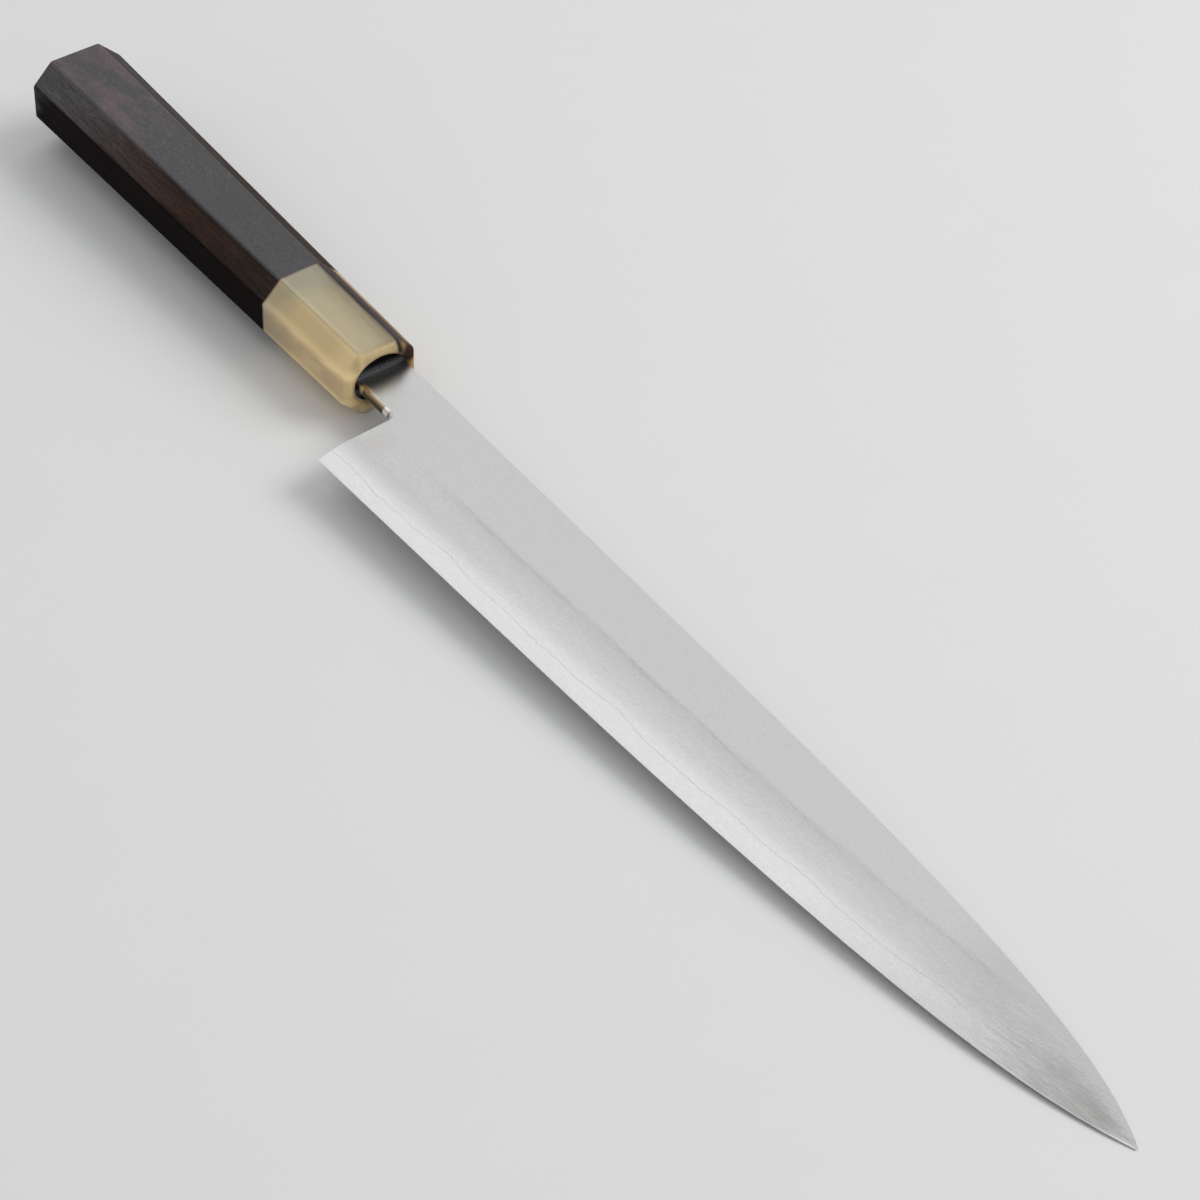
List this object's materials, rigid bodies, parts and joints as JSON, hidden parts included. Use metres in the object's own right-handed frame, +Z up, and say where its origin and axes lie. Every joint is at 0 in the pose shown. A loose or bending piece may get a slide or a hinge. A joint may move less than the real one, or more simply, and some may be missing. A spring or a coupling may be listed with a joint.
{
  "type": "slicing knife",
  "caption": "Long laminated slicing knife: slim blade tapering to a point, soft wide bevel with a wavering core line, pale horn ferrule and dark octagonal wooden handle.",
  "frame": {"origin": "middle of the underside of the knife's bounding box, on the table that it lies on", "axes": "+X from the butt of the handle to the point, +Y towards the spine, +Z up through the right face; the knife lies on its left face, on the ferrule's rim and the point"},
  "size_m": [0.4316, 0.0416, 0.0244],
  "materials": {
    "core_steel": "bright polished hard steel",
    "cladding_steel": "satin hazy soft steel",
    "horn": "polished pale horn, slightly translucent, streaked",
    "ebony": "oiled near-black wood with brown streaks",
    "resin": "hidden setting resin"
  },
  "bodies": {
    "root": {"core_steel": "core_steel", "right_cladding": "cladding_steel", "left_cladding": "cladding_steel", "ferrule": "horn", "handle_body": "ebony", "tang_bedding": "resin"}
  },
  "joints": []
}
